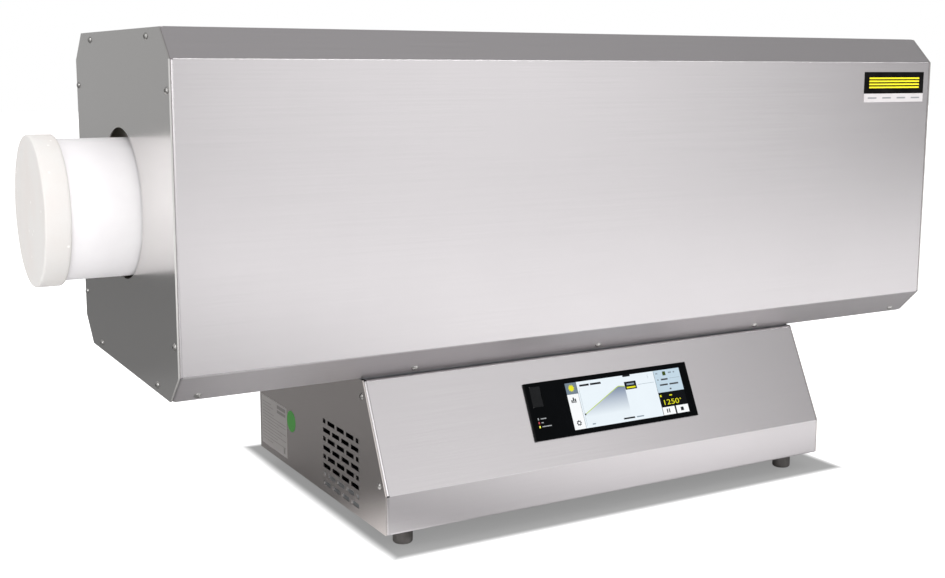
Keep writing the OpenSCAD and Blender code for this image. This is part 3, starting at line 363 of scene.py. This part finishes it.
nodeFinish = {
    "casingSteel": ["hood", "floor_tray"],
    "plateSteel": ["left_end_plate", "right_end_plate"],
    "baseSteel": ["front_panel", "rear_panel"],
    "sideSteel": ["left_side_panel", "right_side_panel"],
    "zincSheet": ["left_cradle", "right_cradle", "saddle_plate", "base_tray", "panel_clamps",
                  "mounting_plate", "din_rail"],
    "screwSteel": ["left_end_screws", "right_end_screws", "hood_screws", "casing_bolts", "casing_nuts",
                   "left_panel_screws", "right_panel_screws", "foot_screws", "foot_nuts", "flap_pin",
                   "plate_screws", "data_socket"],
    "strapSteel": ["lining_straps"],
    "heatingAlloy": ["heating_wire"],
    "brass": ["terminal_clamps"],
    "aluminium": ["heat_sink", "power_supply"],
    "tubeCeramic": ["working_tube"],
    "whiteCeramic": ["terminal_bushes", "thermocouple_sheath"],
    "plugFibre": ["left_end_plug", "right_end_plug"],
    "liningFibre": ["lower_lining", "upper_lining"],
    "footRubber": ["front_left_foot", "front_right_foot", "rear_left_foot", "rear_right_foot"],
    "blackRubber": ["wire_grommet"],
    "blackMoulding": ["thermocouple_head", "controller_housing", "display_unit", "solid_state_relay",
                      "contactor", "cable_gland", "gland_nut"],
    "greyMoulding": ["terminal_row"],
    "boardGreen": ["controller_board"],
    "frontGlass": ["controller_glass"],
    "flapPlastic": ["socket_flap"],
    "screenOff": ["touch_screen"],
}


# Each node loses what it came with and takes its one finish
def dressNodes(finishes):
    for finish, names in finishes.items():
        for name in names:
            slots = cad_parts[name].data.materials
            slots.clear()
            slots.append(materials[finish])
    left = set(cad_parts) - {name for names in finishes.values() for name in names}
    if left:
        print("nodes without a finish:", sorted(left))


dressNodes(nodeFinish)
print("construction nodes dressed")


# A mesh from an array of points and a list of faces, with an optional uv pair for each point
def makeMesh(name, points, faces, uv=None, smooth=True):
    mesh = bpy.data.meshes.new(name)
    mesh.from_pydata(np.asarray(points, float).tolist(), [], [list(map(int, f)) for f in faces])
    if uv is not None:
        corner = np.zeros(len(mesh.loops), np.int32)
        mesh.loops.foreach_get("vertex_index", corner)
        laid = np.asarray(uv, np.float32)[corner].ravel()
        mesh.uv_layers.new(name="UVMap").data.foreach_set("uv", laid)
    mesh.polygons.foreach_set("use_smooth", [smooth] * len(mesh.polygons))
    mesh.update()
    piece = bpy.data.objects.new(name, mesh)
    bpy.context.scene.collection.objects.link(piece)
    return piece


# Points of a mesh as one array
def meshPoints(mesh):
    points = np.empty(3 * len(mesh.vertices), np.float32)
    mesh.vertices.foreach_get("co", points)
    return points.reshape(-1, 3).astype(float)


# Quads of a grid of points, row by row; closed joins the last column to the first
def gridFaces(rows, columns, closed):
    steps = columns if closed else columns - 1
    i, j = np.meshgrid(np.arange(rows - 1), np.arange(steps), indexing="ij")
    low, after = i * columns + j, i * columns + (j + 1) % columns
    return np.stack([low, after, after + columns, low + columns], -1).reshape(-1, 4)


# Material, slot and body of one of the added pieces
def finishPiece(piece, body, material):
    piece.data.materials.append(materials[material])
    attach(piece, body)


# Where each plug belongs, which way along X its flange looks, and where its waves begin in radians
plugSetup = {
    "left": {"node": "left_end_plug", "body": "left_plug", "way": -1, "phase": 0.4},
    "right": {"node": "right_end_plug", "body": "right_plug", "way": 1, "phase": 2.1},
}
plugShape = {
    "flange": 0.030,  # thickness of the flange
    "shank": 0.0735,  # radius of the part inside the tube
    "edge": 0.0032,  # rounding of the flange's outer edge
    "waver": 0.0005,  # how much its rim and end face are out of true
    "columns": 220,  # points round the axis
}


# Plug: outline (r, a) turned about the tube's axis; r shrinks by slow waves round the rim, and the
# end face dips by crossed waves in Y and Z, both never outside the construction body. Each sum of
# waves is divided by 2.5 or 1.5, the sum of their heights
def makePlug(name, given, shape):
    low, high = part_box(given["node"])
    rim, length = (high.y - low.y) / 2, high.x - low.x
    inner = shape["flange"] - length
    turn = np.radians(np.linspace(0, 90, 9))
    edge, shank = shape["edge"], shape["shank"]
    bevel = edge * np.array([0.3, 1.0])
    rows = [(r, inner) for r in np.linspace(0.001, shank - edge, 10)]
    rows += [(shank, inner + edge)] + [(shank, a) for a in np.linspace(inner + 2 * edge, 0, 8)]
    rows += [(r, 0.0) for r in np.linspace(shank + 0.001, rim - bevel[0], 4)]
    rows += [(rim, a) for a in np.linspace(bevel[0], shape["flange"] - edge, 10)]
    rows += [(rim + edge * (math.cos(t) - 1), shape["flange"] + edge * (math.sin(t) - 1))
             for t in turn[1:]]
    rows += [(r, shape["flange"]) for r in np.linspace(rim - edge - 0.002, 0.0005, 44)]
    outline = np.array(rows)
    angle = np.linspace(0, 2 * np.pi, shape["columns"], endpoint=False)[None]
    r, a = outline[:, :1], outline[:, 1:]
    wave = np.sin(3 * angle + given["phase"]) + 0.6 * np.sin(7 * angle + 2 * given["phase"])
    wave = wave + 0.5 * np.sin(17 * angle + a * 190) + 0.4 * np.sin(31 * angle - a * 260)
    onRim = np.clip((r - shank) / 0.004, 0, 1)
    r = r - onRim * shape["waver"] * (wave / 2.5 + 1) / 2
    y, z = r * np.sin(angle), r * np.cos(angle)
    dip = np.sin(61 * y + 3 * given["phase"]) * np.sin(74 * z) + 0.5 * np.sin(190 * y - 150 * z)
    onFace = (a > shape["flange"] - 0.0005).astype(float)
    a = a - onFace * shape["waver"] * (dip / 1.5 + 1) / 2
    middle = (low + high) / 2
    x = np.where(given["way"] < 0, low.x, high.x) + given["way"] * (a - shape["flange"])
    points = np.stack([x + 0 * y, middle.y + y, middle.z + z], -1).reshape(-1, 3)
    faces = gridFaces(len(outline), shape["columns"], True)
    if given["way"] < 0:
        faces = faces[:, ::-1]
    along = np.linspace(0, 1, len(outline))
    uv = np.stack(np.broadcast_arrays(angle / (2 * np.pi), along[:, None]), -1).reshape(-1, 2)
    plug = makeMesh(name, points, faces, uv)
    finishPiece(plug, given["body"], "plugFibre")
    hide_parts(given["node"])


for side, given in plugSetup.items():
    makePlug(side + "PlugBody", given, plugShape)
print("plugs made")


# Points in the frame of (u, v) pairs in mm on a plane, raised from it by a level in mm
def onPlane(plane, pairs, level):
    out = np.broadcast_to(level, len(pairs))[:, None] * plane["out"]
    moved = pairs[:, :1] * plane["across"] + pairs[:, 1:] * plane["up"] + out
    return plane["middle"] + moved / 1000


# Plates and prints on a plane: each outline of (u, v) pairs in mm becomes a plate as thick as depth
# that stands on the plane; the uv map runs 0 to 1 over all outlines together
def makePrint(name, plane, outlines, depth, material):
    pairs, levels, faces = [], [], []
    for outline in outlines:
        count, start = len(outline), len(pairs)
        pairs += list(outline) * 2
        levels += [0.0] * count + [depth] * count
        low = start + np.arange(count)
        after = np.roll(low, -1)
        faces.append(low + count)
        faces += list(np.stack([low, after, after + count, low + count], -1))
    pairs = np.array(pairs, float)
    spread = np.maximum(pairs.max(0) - pairs.min(0), 1e-6)
    points = onPlane(plane, pairs, np.array(levels))
    made = makeMesh(name, points, faces, (pairs - pairs.min(0)) / spread, smooth=False)
    finishPiece(made, "furnace", material)


# Corners of an upright rectangle
def rectangle(left, bottom, right, top):
    return [(left, bottom), (right, bottom), (right, top), (left, top)]


# Circle: points at equal angles round its middle
def disc(u, v, radius, count=48):
    turn = np.linspace(0, 2 * np.pi, count, endpoint=False)
    return list(zip(u + radius * np.cos(turn), v + radius * np.sin(turn)))


# Star or cogwheel: the radius changes between two values
def cog(u, v, small, large, teeth):
    turn = np.linspace(0, 2 * np.pi, 4 * teeth, endpoint=False)
    radius = np.where(np.arange(4 * teeth) % 4 < 2, large, small)
    return list(zip(u + radius * np.cos(turn), v + radius * np.sin(turn)))


# Line as one thin rectangle for each stretch between its points
def stroke(points, width):
    made = []
    for (u0, v0), (u1, v1) in zip(points, points[1:]):
        length = math.hypot(u1 - u0, v1 - v0)
        du, dv = -(v1 - v0) / length * width / 2, (u1 - u0) / length * width / 2
        made.append([(u0 - du, v0 - dv), (u1 - du, v1 - dv), (u1 + du, v1 + dv), (u0 + du, v0 + dv)])
    return made


slopeTilt = math.atan2(0.063, 0.130)  # the sloping front leans back by its run over its rise
slopeAxes = {
    "across": np.array([1, 0, 0]),
    "up": np.array([0, math.sin(slopeTilt), math.cos(slopeTilt)]),
    "out": np.array([0, -math.cos(slopeTilt), math.sin(slopeTilt)]),
}


# Plane of a node's outer face on the sloping front, with its middle at the node's own
def slopePlane(node):
    middle, out = np.mean(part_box(node), axis=0), slopeAxes["out"]
    top = (meshPoints(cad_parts[node].data) @ out).max()
    return dict(slopeAxes, middle=middle + (top - middle @ out) * out)


screenPlane = slopePlane("touch_screen")
glassPlane = slopePlane("controller_glass")
# Planes of the casing's front and of the left side panel, each about the middle of its print
casingPlane = {"middle": np.array([0.5085, -0.1975, 0.552]), "across": np.array([1, 0, 0]),
               "up": np.array([0, 0, 1]), "out": np.array([0, -1, 0])}
sidePlane = {"middle": np.array([-0.349, 0.136, 0.0692]), "across": np.array([0, -1, 0]),
             "up": np.array([0, 0, 1]), "out": np.array([-1, 0, 0])}
# The screen's heating curve in mm
ramp = [(-73.2, -12.8), (-14.5, 16.6), (-12.6, 17.4), (-10.3, 17.6), (-1.5, 16.4)]

# All prints by name: material, height in mm and outlines in mm from the middle of their plane.
# What the screen shows: icons, a heating curve, a reading and two keys
screenPrints = {
    "screenPaper": ("glowPaper", 0.02, [rectangle(-76.8, -31.2, 50.2, 31.2)]),
    "screenColumn": ("glowWhite", 0.02, [rectangle(-94.8, -31.2, -77.3, 15.9)]),
    "screenTile": ("glowTile", 0.02, [rectangle(-94.8, 16.2, -77.3, 31.2)]),
    "screenSun": ("glowYellow", 0.05, [cog(-86, 24, 3.4, 4.9, 10)]),
    "screenFade": ("glowFade", 0.04, [ramp + [(-1.5, -28.5), (-73.2, -28.5)]]),
    "screenCurve": ("glowLine", 0.07, stroke(ramp, 1.0)),
    "screenGrid": ("glowDash", 0.05, [
        rectangle(-77.2, -31.2, -76.9, 15.9), rectangle(-74.6, -28.5, -74.3, 20.5),
        rectangle(20.5, 15.9, 48, 16.3), rectangle(-66, -27.8, -61, -26.2),
        rectangle(6, -27.6, 18, -26.0), rectangle(39.1, 24.6, 39.9, 25.4),
        rectangle(39.1, 26.6, 39.9, 27.4), rectangle(39.1, 22.6, 39.9, 23.4)]),
    "screenIcons": ("screenInk", 0.08, [
        rectangle(-90.6, 4.6, -82.4, 5.6), rectangle(-90.4, 5.9, -88.4, 8.3),
        rectangle(-87.6, 5.9, -85.6, 11.4), rectangle(-84.8, 5.9, -82.8, 9.6),
        cog(-86.2, -22.8, 2.9, 3.9, 8), rectangle(-72.6, 24.4, -57.5, 27.0),
        rectangle(-55.5, 24.4, -38.2, 27.0), rectangle(-74.4, -14, -72.2, -11.8),
        rectangle(-1.2, 11.2, 18.0, 22.0), rectangle(-1.2, 28.9, 11, 31.2),
        rectangle(-15.2, -27.9, 3.1, -25.7), rectangle(57.4, -28.2, 59.2, -22.8),
        rectangle(60.9, -28.2, 62.7, -22.8), rectangle(81.4, -28, 86.2, -23.2)]),
    "screenCard": ("glowBlue", 0.02, [rectangle(50.6, 0.3, 94.8, 31.2)]),
    "screenKeys": ("glowWhite", 0.02, [
        rectangle(51, -31, 71.6, -20.2), rectangle(74.2, -31, 94.8, -20.2)]),
    "screenCardInk": ("screenLines", 0.05, [
        rectangle(60.5, 16.8, 72, 19.0), rectangle(54.6, 17.2, 56.2, 18.8),
        rectangle(56.6, 9.4, 70, 11.6), rectangle(73, 9.4, 88, 11.6),
        rectangle(71.4, 3.0, 74.2, 4.8)]),
    "screenCardGrey": ("glowDash", 0.05, [
        rectangle(53.4, 26, 57, 27.6), rectangle(75, 25.4, 80.5, 27.4),
        rectangle(83.4, 25.4, 86, 27.4), rectangle(75, 18.3, 92.5, 18.7)]),
    "screenCardMark": ("screenGreen", 0.05, [rectangle(65.2, 23.2, 70.4, 28.8)]),
    "screenSmall": ("glowYellow", 0.10, [
        cog(53.2, -4.4, 1.1, 1.8, 8), rectangle(68, -5.6, 72.4, -4.0),
        rectangle(1.6, 12.8, 16.0, 15.0)]),
    "screenHub": ("glowWhite", 0.10, [disc(-86.2, -22.8, 1.7)]),
    "screenDegree": ("glowYellow", 0.02, [disc(84.6, -11.4, 1.1)]),
    "screenDegreeHole": ("screenInk", 0.05, [disc(84.6, -11.4, 0.5)]),
    "screenTagLine": ("glowDash", 0.10, [rectangle(2.4, 17.2, 14.6, 19.4)]),
}

# Three small socket marks on the glass, each with a short bar beside it
glassPrints = {
    "markGrey": ("markGrey", 0.03, [rectangle(-123.1, -11.1, -121.4, -8.3)]),
    "markRed": ("markRed", 0.03, [rectangle(-123.1, -16.1, -121.4, -13.4)]),
    "markYellow": ("markYellow", 0.03, [rectangle(-123.1, -21.4, -121.4, -18.6)]),
    "markBars": ("markGrey", 0.03, [
        rectangle(-118.7, -10.4, -110.1, -9.2), rectangle(-118.7, -15.4, -115.3, -14.2),
        rectangle(-118.7, -20.6, -104.3, -19.4)]),
}

# Badge on the casing, bare of any name: a black plate with four yellow rules over a pale strip
badgePrints = {
    "badgePlate": ("badgeBlack", 0.5, [rectangle(-61.5, -9.4, 61.5, 22)]),
    "badgeStrip": ("badgeGrey", 0.5, [rectangle(-61.5, -22, 61.5, -9.6)]),
    "badgeLines": ("badgeYellow", 0.56, [
        rectangle(-52, v, 52, v + 2.4) for v in (-1.6, 2.8, 7.2, 11.6)]),
    "badgeDashes": ("markGrey", 0.54, [rectangle(u, -17, u + 18, -14.8) for u in (-54, -24, 6, 36)]),
}

# Type plate without entries: ruled lines only; beside it a plain green seal
platePrints = {
    "typePlate": ("foilGrey", 0.3, [rectangle(-49.5, -36.2, 49.5, 36.2)]),
    "typePlateRules": ("printGrey", 0.34, [
        rectangle(-45, 27 - 4.6 * i, -45 + w, 27.9 - 4.6 * i) for i, w in enumerate(
            (34, 42, 30, 44, 90, 90, 62, 90, 74, 90, 58, 90, 40))]
        + [rectangle(12, 28, 44, 33), rectangle(12, 21.4, 44, 25.6), rectangle(36, -32, 42, -24)]),
    "typeSeal": ("sealGreen", 0.3, [disc(66.2, 22.2, 15)]),
}

printSets = (
    (screenPrints, screenPlane, "screen"),
    (glassPrints, glassPlane, "front_glass"),
    (badgePrints, casingPlane, "display_plastic"),
    (platePrints, sidePlane, "display_plastic"),
)
for prints, plane, slot in printSets:
    for name, (material, depth, outlines) in prints.items():
        makePrint(name, plane, outlines, depth, material)


# Reading on the screen: figures of the built-in font as a mesh, fitted to a box of the screen
def makeReading(name, figures, box, plane, depth, material):
    curve = bpy.data.curves.new(name + "Font", "FONT")
    curve.body = figures
    holder = bpy.data.objects.new(name + "Font", curve)
    bpy.context.scene.collection.objects.link(holder)
    bpy.context.view_layer.update()
    shaped = holder.evaluated_get(bpy.context.evaluated_depsgraph_get())
    flat = bpy.data.meshes.new_from_object(shaped)
    pairs = meshPoints(flat)[:, :2]
    faces = [list(f.vertices) for f in flat.polygons]
    bpy.data.objects.remove(holder)
    pairs = (pairs - pairs.min(0)) / (pairs.max(0) - pairs.min(0))
    left, bottom, right, top = box
    placed = pairs * (right - left, top - bottom) + (left, bottom)
    reading = makeMesh(name, onPlane(plane, placed, depth), faces, pairs, smooth=False)
    finishPiece(reading, "furnace", material)


readingBox = (56.4, -17.2, 81.6, -10.2)  # left, bottom, right and top in mm from the screen's middle
makeReading("screenReading", "1250", readingBox, screenPlane, 0.1, "glowYellow")
print("prints made:", sum(len(prints) for prints, *_ in printSets) + 1)

floorSetup = {
    "size": 30.0,
    "albedo": 0.95,
    "open": (0.45, 1.0),  # for the camera: how much of the diffuse light it sees, and emission added
    "shade": ((-0.347, -0.250), (0.385, 0.276)),  # corners in X and Y of the patch in contact shade
    "depth": 0.73,  # how much darker the shaded patch is
    "blur": 0.022,  # width of its soft edge
    "gloss": (0.17, 0.77),  # brightness in the steel, to the rear left and to the front right
    "turn": (0.95, -0.3),  # direction in X and Y in which it brightens
    "reach": (-0.85, 1.0),
    "paintedPools": [((0.15, -0.45, 0.0), 0.62, 0.30), ((-0.39, -0.2, 0.0), 0.22, 0.68),
              ((-1.9, -1.1, 0.0), 1.1, 1.0)],  # painted pools of light in what the steel sees: middle, radius, strength
    "under": (-0.6, 0.7, 1.3, 0.45),  # painted shade in what the steel sees: from one X to another, its share under the casing goes from to
    "strip": (0.25, 0.45, 0.62),  # middle in Y of what counts as under, its inner and outer edge
    "far": (3.0, 9.0),  # distances over which the steel sees through it to the walls
}


# Darkness of the contact shade: 1 inside the patch and 0 beyond its soft edge
def shadeMask(tree, coords, given):
    low, high = given["shade"]
    middle = [(a + b) / 2 for a, b in zip(low, high)]
    half = [(b - a) / 2 for a, b in zip(low, high)]
    folded = reckonVector(tree, "ABSOLUTE", reckonVector(tree, "SUBTRACT", coords, middle + [0]))
    outside = split(tree, reckonVector(tree, "SUBTRACT", folded, half + [0]))
    furthest = reckon(tree, "MAXIMUM", outside["X"], outside["Y"])
    return mapRange(tree, furthest, -given["blur"] / 2, given["blur"] / 2, 1, 0)


# Flat square: x and y run over its size, z stays 0
def makeFloor(given):
    u, v = np.meshgrid(np.linspace(-0.5, 0.5, 9), np.linspace(-0.5, 0.5, 9), indexing="ij")
    points = np.stack([u, v, 0 * u], -1).reshape(-1, 3) * given["size"]
    ground = makeMesh("floor", points, gridFaces(9, 9, False))
    made = bpy.data.materials.new("studioFloor")
    made.use_nodes = True
    tree = made.node_tree
    tree.nodes.clear()
    rays = addNode(tree, "LightPath").outputs
    coords = addNode(tree, "TexCoord").outputs["Object"]
    along = reckonVector(tree, "DOT_PRODUCT", coords, given["turn"] + (0.0,))
    # What the steel sees of the floor is painted light: brighter to the front right, with painted
    # shade under the casing and painted pools of light
    broad = mapRange(tree, along, *given["reach"], *given["gloss"])
    place = split(tree, coords)
    share = mapRange(tree, place["X"], *given["under"])
    middle, inner, outer = given["strip"]
    aside = reckon(tree, "ABSOLUTE", reckon(tree, "SUBTRACT", place["Y"], middle))
    under = mixColour(tree, mapRange(tree, aside, inner, outer, 1, 0), (1, 1, 1, 1), share)
    for middle, radius, strength in given["paintedPools"]:
        apart = reckonVector(tree, "DISTANCE", coords, middle)
        broad = reckon(tree, "ADD", mapRange(tree, apart, 0, radius, strength, 0), broad)
    mirrored = reckon(tree, "MULTIPLY", broad, under)
    kept = mapRange(tree, shadeMask(tree, coords, given), 0, 1, 1, 1 - given["depth"], smooth=False)
    seen = reckon(tree, "MULTIPLY", kept, given["open"][0])
    lift = reckon(tree, "MULTIPLY", kept, given["open"][1])
    plain = [given["albedo"]] * 3 + [1]
    colour = mixColour(tree, rays["Is Glossy Ray"], plain, mirrored)
    colour = mixColour(tree, rays["Is Camera Ray"], colour, seen)
    diffuse = addNode(tree, "BsdfDiffuse", {"Color": colour})
    strength = reckon(tree, "MULTIPLY", lift, rays["Is Camera Ray"])
    glow = addNode(tree, "Emission", {"Color": (1, 1, 1, 1), "Strength": strength})
    total = addNode(tree, "AddShader", {0: diffuse.outputs[0], 1: glow.outputs[0]})
    distance = reckonVector(tree, "LENGTH", coords)
    away = mapRange(tree, distance, *given["far"], 0, 1)
    away = reckon(tree, "MULTIPLY", away, rays["Is Glossy Ray"])
    ended = mixShader(tree, away, total, addNode(tree, "BsdfTransparent"))
    addNode(tree, "OutputMaterial", {"Surface": ended.outputs[0]})
    ground.data.materials.append(made)


makeFloor(floorSetup)

worldSetup = {
    "ambient": 0.94,  # light from everywhere on what is matt
    "turn": (0.5, -0.86, 0.0),  # where the bright wall stands, for what is glossy
    "gloss": (0.39, 1.06),  # brightness away from that wall and at its middle
    "edge": (0.92, 1.0),  # cosine of the angle from its middle at which it fades in
    "second": ((-0.93, -0.37, 0.0), 0.94, 0.985, 0.9),  # strip at the left: where, edge, light
    "ceiling": 0.38,  # brightness of the ceiling
    "right": (0.45, 0.85, 0.8),  # as X in the view passes from one to the next, all dims to the last
    "rise": (0.4, 0.85),  # height over which the walls pass into the ceiling
}


# White for the camera; gloss sees a bright wall to the front right and a strip at the left under a
# dimmer ceiling, and matt things an even light
def makeWorld(given):
    world = bpy.data.worlds.new("studio")
    bpy.context.scene.world = world
    world.use_nodes = True
    tree = world.node_tree
    tree.nodes.clear()
    rays = addNode(tree, "LightPath").outputs
    coords = addNode(tree, "TexCoord").outputs["Generated"]
    heading = reckonVector(tree, "NORMALIZE", reckonVector(tree, "MULTIPLY", coords, (1, 1, 0)))
    along = reckonVector(tree, "DOT_PRODUCT", heading, given["turn"])
    wall = mapRange(tree, along, *given["edge"], *given["gloss"])
    middle, start, end, bright = given["second"]
    aside = reckonVector(tree, "DOT_PRODUCT", heading, middle)
    wall = reckon(tree, "ADD", wall, mapRange(tree, aside, start, end, 0, bright))
    way = split(tree, coords)
    above = mapRange(tree, way["Z"], *given["rise"], 0.0, 1.0)
    level = mixColour(tree, above, wall, [given["ceiling"]] * 3 + [1])
    start, end, share = given["right"]
    dimmed = reckon(tree, "MULTIPLY", mapRange(tree, way["X"], start, end, 1, share), level)
    even, mirrored, seen = (
        addNode(tree, "Background", {"Color": (1, 1, 1, 1), "Strength": strength})
        for strength in (given["ambient"], dimmed, 1.0))
    lit = mixShader(tree, rays["Is Glossy Ray"], even, mirrored)
    ended = mixShader(tree, rays["Is Camera Ray"], lit, seen)
    addNode(tree, "OutputWorld", {"Surface": ended.outputs[0]})


makeWorld(worldSetup)

# The mirrored lamps show in the steel: two at the left, wide and small, and a bar over the front
lamps = {
    "overhead": {"place": (0.3, -0.5, 2.9), "aim": (0, 0, 0.3), "size": (2.4, 1.8), "power": 18},
    "front": {"place": (0.3, -3.4, 2.2), "aim": (-0.2, 0, 0.35), "size": (3.0, 2.0), "power": 29},
    "side": {"place": (-1.7, -3.1, 1.0), "aim": (-0.6, 0, 0.4), "size": (2.0, 2.0), "power": 23,
             "mirrored": True},
    "glint": {"place": (-3.0, -0.9, 1.6), "aim": (-0.6, 0, 0.4), "size": (0.3, 0.3), "power": 5,
              "mirrored": True},
    "bar": {"place": (1.6, -1.6, 2.3), "aim": (1.6, -0.2, 0.6), "size": (3.6, 0.2), "power": 13,
            "mirrored": True},
}


def makeLamp(name, given):
    data = bpy.data.lights.new(name, "AREA")
    data.shape = "RECTANGLE"
    data.size, data.size_y = given["size"]
    data.energy = given["power"]
    lamp = bpy.data.objects.new(name, data)
    bpy.context.scene.collection.objects.link(lamp)
    lamp.visible_glossy = given.get("mirrored", False)
    lamp.location = given["place"]
    lamp.rotation_mode = "QUATERNION"
    ahead = Vector(given["aim"]) - Vector(given["place"])
    lamp.rotation_quaternion = ahead.to_track_quat("-Z", "Y")


for lampName, lampSetup in lamps.items():
    makeLamp(lampName, lampSetup)
print("studio made")
